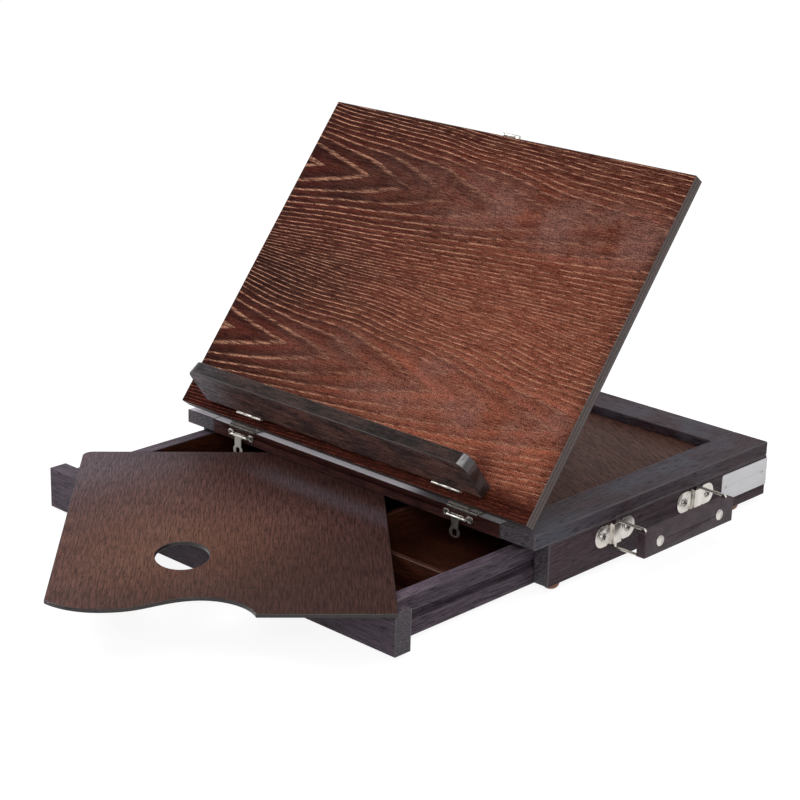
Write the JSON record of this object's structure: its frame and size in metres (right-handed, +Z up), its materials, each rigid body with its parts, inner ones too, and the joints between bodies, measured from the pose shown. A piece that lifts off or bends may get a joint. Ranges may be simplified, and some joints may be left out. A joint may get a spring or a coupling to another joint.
{
  "type": "table sketch-box easel",
  "caption": "Stained wooden table sketch-box easel with a tilting panel on a prop, a folding ledge, a partitioned drawer, a palette, nickel latches and a carrying handle.",
  "frame": {"origin": "on the table, below the middle of the whole part as it stands open: halfway across from the palette's left corner to the grip's rivets, and halfway along from the palette's tip to the catch behind the box", "axes": "+X to the right, +Y from the drawer front to the back of the box, +Z up"},
  "size_m": [0.4365, 0.6354, 0.3061],
  "materials": {
    "case_wood": "stained satin",
    "panel_wood": "varnished grain",
    "ledge_wood": "stained satin",
    "palette_wood": "stained matt",
    "inner_wood": "stained matt",
    "prop_wood": "stained satin",
    "nickel": "polished nickel plate",
    "grip_leather": "satin",
    "foot_rubber": "semi-gloss",
    "plate_metal": "brushed silver"
  },
  "bodies": {
    "case": {"front_rail": "case_wood", "back_rail": "case_wood", "left_rail": "case_wood", "right_rail": "case_wood", "recess_board": "inner_wood", "left_wall": "case_wood", "right_wall": "case_wood", "back_wall": "case_wood", "drawer_runners": "case_wood", "prop_rack": "prop_wood", "feet": "foot_rubber", "foot_screws": "nickel", "rail_hinge_leaves": "nickel", "hinge_pins": "nickel", "rail_hinge_screws": "nickel", "latch_leaves": "nickel", "latch_pins": "nickel", "latch_screws": "nickel", "handle_plate_near": "nickel", "handle_plate_far": "nickel", "handle_screws": "nickel", "name_plate": "plate_metal", "name_plate_nails": "nickel", "catch_hook": "nickel", "catch_hook_screws": "nickel"},
    "panel": {"easel_panel": "panel_wood", "panel_hinge_leaves": "nickel", "panel_hinge_screws": "nickel", "panel_ledge_leaves": "nickel", "ledge_hinge_pins": "nickel", "panel_prop_leaf": "nickel", "prop_hinge_pin": "nickel", "catch_leaf": "nickel", "catch_pin": "nickel", "panel_small_screws": "nickel"},
    "ledge": {"ledge": "ledge_wood", "ledge_hinge_leaves": "nickel", "ledge_screws": "nickel"},
    "prop": {"prop_leg": "prop_wood", "prop_foot": "prop_wood", "prop_hinge_leaf": "nickel", "prop_screws": "nickel"},
    "left_tongue": {"left_latch_tongue": "nickel"},
    "right_tongue": {"right_latch_tongue": "nickel"},
    "catch_tongue": {"catch_tongue": "nickel"},
    "drawer": {"drawer_front": "case_wood", "drawer_left_side": "case_wood", "drawer_right_side": "case_wood", "drawer_back": "case_wood", "drawer_floor": "inner_wood", "cross_divider": "inner_wood", "short_dividers": "inner_wood", "latch_hooks": "nickel", "latch_hook_screws": "nickel"},
    "near_ring": {"near_ring": "nickel"},
    "far_ring": {"far_ring": "nickel"},
    "grip": {"grip": "grip_leather", "grip_rivets": "nickel"},
    "palette": {"palette": "palette_wood"}
  },
  "joints": [
    {"name": "drawer_slide", "type": "slide", "parent": "case", "child": "drawer", "axis": [0, -1, 0], "range_m": [-0.15315, 0.08]},
    {"name": "palette_slide", "type": "slide", "parent": "case", "child": "palette", "axis": [0, -1, 0], "range_m": [0, 0.12]},
    {"name": "panel_tilt", "type": "hinge", "parent": "case", "child": "panel", "pos_m": [-0.01715, 0.00186, 0.054], "axis": [1, 0, 0], "range_deg": [-52, 13]},
    {"name": "prop_swing", "type": "hinge", "parent": "panel", "child": "prop", "pos_m": [-0.01715, 0.08376, 0.15752], "axis": [1, 0, 0], "range_deg": [-26.5, 104.5]},
    {"name": "ledge_fold", "type": "hinge", "parent": "panel", "child": "ledge", "pos_m": [-0.01715, -0.00234, 0.07031], "axis": [1, 0, 0], "range_deg": [0, 75]},
    {"name": "catch_swing", "type": "hinge", "parent": "panel", "child": "catch_tongue", "pos_m": [-0.01465, 0.18952, 0.30446], "axis": [1, 0, 0], "range_deg": [0, 120]},
    {"name": "left_latch_swing", "type": "hinge", "parent": "case", "child": "left_tongue", "pos_m": [-0.14715, 0.00076, 0.0466], "axis": [-1, 0, 0], "range_deg": [0, 120]},
    {"name": "right_latch_swing", "type": "hinge", "parent": "case", "child": "right_tongue", "pos_m": [0.10485, 0.00076, 0.0466], "axis": [-1, 0, 0], "range_deg": [0, 120]},
    {"name": "near_ring_swing", "type": "hinge", "parent": "case", "child": "near_ring", "pos_m": [0.18425, 0.10286, 0.0279], "axis": [0, 0, 1], "range_deg": [-75, 75]},
    {"name": "far_ring_swing", "type": "hinge", "parent": "case", "child": "far_ring", "pos_m": [0.18425, 0.21056, 0.0279], "axis": [0, 0, 1], "range_deg": [-75.5, 75.5]},
    {"name": "grip_swing", "type": "hinge", "parent": "near_ring", "child": "grip", "pos_m": [0.2131, 0.10286, 0.0279], "axis": [0, 0, 1], "range_deg": [-75.5, 75.5]}
  ],
  "couplings": [
    {"joint": "prop_swing", "follows": "panel_tilt", "ratio": -2},
    {"joint": "far_ring_swing", "follows": "near_ring_swing", "ratio": 1},
    {"joint": "grip_swing", "follows": "near_ring_swing", "ratio": -1}
  ]
}
